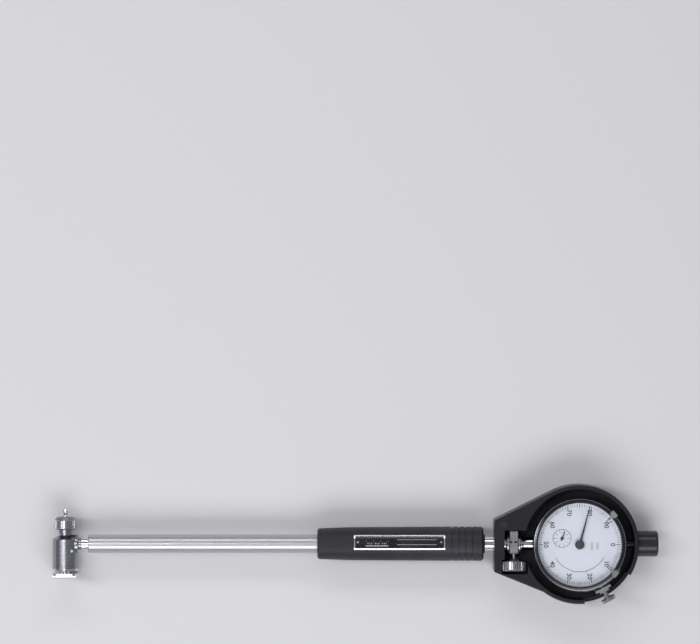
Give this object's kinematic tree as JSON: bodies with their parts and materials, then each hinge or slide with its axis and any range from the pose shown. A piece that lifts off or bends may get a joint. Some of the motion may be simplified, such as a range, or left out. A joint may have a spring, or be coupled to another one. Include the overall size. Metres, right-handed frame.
{
  "type": "dial bore gauge",
  "caption": "Two-point internal measuring gauge with a long tube, sprung centring guide, ribbed grip and a clamped dial indicator in a protective cover",
  "frame": {"origin": "on the dial's axis, in the plane of the flat back that the gauge lies on", "axes": "+X from the measuring head along the tube to the dial and its end cap, +Y towards the fixed anvil, +Z out of the dial face"},
  "size_m": [0.3682, 0.0721, 0.0296],
  "materials": {
    "satin_head": "satin plated steel, darker than the tube",
    "bright_steel": "polished chrome-plated steel",
    "knurled_steel": "knurled, nickel-plated steel",
    "tube_steel": "satin ground steel tube",
    "hard_ball": "polished hard metal",
    "inner_steel": "turned steel",
    "movement_brass": "turned and stamped brass",
    "grip_plastic": "matte spark-textured black plastic",
    "label_black": "black printed aluminium with a bare silver border",
    "case_black": "satin black paint",
    "dial_white": "matte white dial print",
    "clear_crystal": "clear plastic crystal",
    "hand_black": "matte black paint",
    "clip_silver": "bare spring steel",
    "cover_plastic": "black moulded plastic with a fine texture",
    "cap_plastic": "smooth black plastic"
  },
  "bodies": {
    "gauge": {"head_body": "satin_head", "head_end_bush": "bright_steel", "crank_pin": "inner_steel", "anvil": "bright_steel", "lock_ring": "bright_steel", "tube": "tube_steel", "rod_bushes": "movement_brass", "grip": "grip_plastic", "label_plate": "label_black", "label_pins": "inner_steel", "upper_shaft": "bright_steel", "clamp_collar": "bright_steel", "indicator_case": "case_black", "case_back": "case_black", "back_screws": "inner_steel", "indicator_stem": "bright_steel", "rear_bush": "movement_brass", "lower_plate": "movement_brass", "upper_plate": "movement_brass", "plate_pillars": "movement_brass", "dial_centre": "dial_white", "lock_bracket": "clip_silver", "cover_shell": "cover_plastic", "cover_end_block": "cover_plastic", "cover_screws": "inner_steel", "end_cap": "cap_plastic"},
    "anvil_nut": {"clamp_nut": "knurled_steel"},
    "contact": {"contact_spindle": "bright_steel", "contact_ball": "hard_ball"},
    "crank": {"bell_crank": "inner_steel"},
    "transfer_rod": {"push_rod": "inner_steel"},
    "centring_guide": {"guide_bridge": "bright_steel", "guide_pins": "inner_steel"},
    "indicator_plunger": {"plunger": "inner_steel", "plunger_tip": "inner_steel"},
    "counter": {"counter_arbor": "movement_brass", "small_hand": "hand_black"},
    "pointer": {"centre_arbor": "inner_steel", "main_hand": "hand_black"},
    "turning_bezel": {"bezel": "case_black", "crystal": "clear_crystal", "dial_ring": "dial_white"},
    "marker_high": {"limit_marker_high": "clip_silver"},
    "marker_low": {"limit_marker_low": "clip_silver"},
    "bezel_lock": {"lock_screw": "knurled_steel"},
    "thumb_screw": {"collar_screw": "knurled_steel"}
  },
  "joints": [
    {"name": "rod_slide", "type": "slide", "parent": "gauge", "child": "transfer_rod", "axis": [1, 0, 0], "range_m": [0, 0.0012], "stiffness_N_per_m": 600, "springref_m": -0.003},
    {"name": "contact_slide", "type": "slide", "parent": "gauge", "child": "contact", "axis": [0, 1, 0], "range_m": [0, 0.0012]},
    {"name": "crank_turn", "type": "hinge", "parent": "gauge", "child": "crank", "pos_m": [-0.3076, -0.0042, 0.0125], "axis": [0, 0, 1], "range_deg": [-16.4, 0]},
    {"name": "plunger_slide", "type": "slide", "parent": "gauge", "child": "indicator_plunger", "axis": [1, 0, 0], "range_m": [0, 0.0012]},
    {"name": "counter_turn", "type": "hinge", "parent": "gauge", "child": "counter", "pos_m": [-0.0106, 0.0038, 0.0125], "axis": [0, 0, 1], "range_deg": [0, 43.2]},
    {"name": "pointer_turn", "type": "hinge", "parent": "gauge", "child": "pointer", "pos_m": [0, 0, 0.0125], "axis": [0, 0, 1], "range_deg": [-432, 0]},
    {"name": "guide_slide", "type": "slide", "parent": "gauge", "child": "centring_guide", "axis": [0, 1, 0], "range_m": [0, 0.0012], "stiffness_N_per_m": 500, "springref_m": -0.004},
    {"name": "nut_turn", "type": "hinge", "parent": "gauge", "child": "anvil_nut", "pos_m": [-0.3118, 0.012, 0.0125], "axis": [0, 1, 0], "range_deg": [0, 360]},
    {"name": "bezel_turn", "type": "hinge", "parent": "gauge", "child": "turning_bezel", "pos_m": [0, 0, 0.0245], "axis": [0, 0, 1], "continuous": true},
    {"name": "marker_high_turn", "type": "hinge", "parent": "turning_bezel", "child": "marker_high", "pos_m": [0, 0, 0.0285], "axis": [0, 0, 1], "range_deg": [-34, 34]},
    {"name": "marker_low_turn", "type": "hinge", "parent": "turning_bezel", "child": "marker_low", "pos_m": [0, 0, 0.0285], "axis": [0, 0, 1], "range_deg": [-34, 34]},
    {"name": "lock_turn", "type": "hinge", "parent": "gauge", "child": "bezel_lock", "pos_m": [0.01596, -0.03002, 0.0237], "axis": [0.4695, -0.8829, 0], "range_deg": [0, 360]},
    {"name": "thumb_screw_turn", "type": "hinge", "parent": "gauge", "child": "thumb_screw", "pos_m": [-0.03965, 0.0011, 0.02032], "axis": [0, -0.9903, 0.1392], "range_deg": [0, 360]}
  ],
  "couplings": [
    {"joint": "contact_slide", "follows": "rod_slide", "ratio": 1},
    {"joint": "plunger_slide", "follows": "rod_slide", "ratio": 1},
    {"joint": "crank_turn", "follows": "rod_slide", "rad_per_m": -238.09},
    {"joint": "counter_turn", "follows": "rod_slide", "rad_per_m": 628.32},
    {"joint": "pointer_turn", "follows": "rod_slide", "rad_per_m": -6283.2}
  ]
}
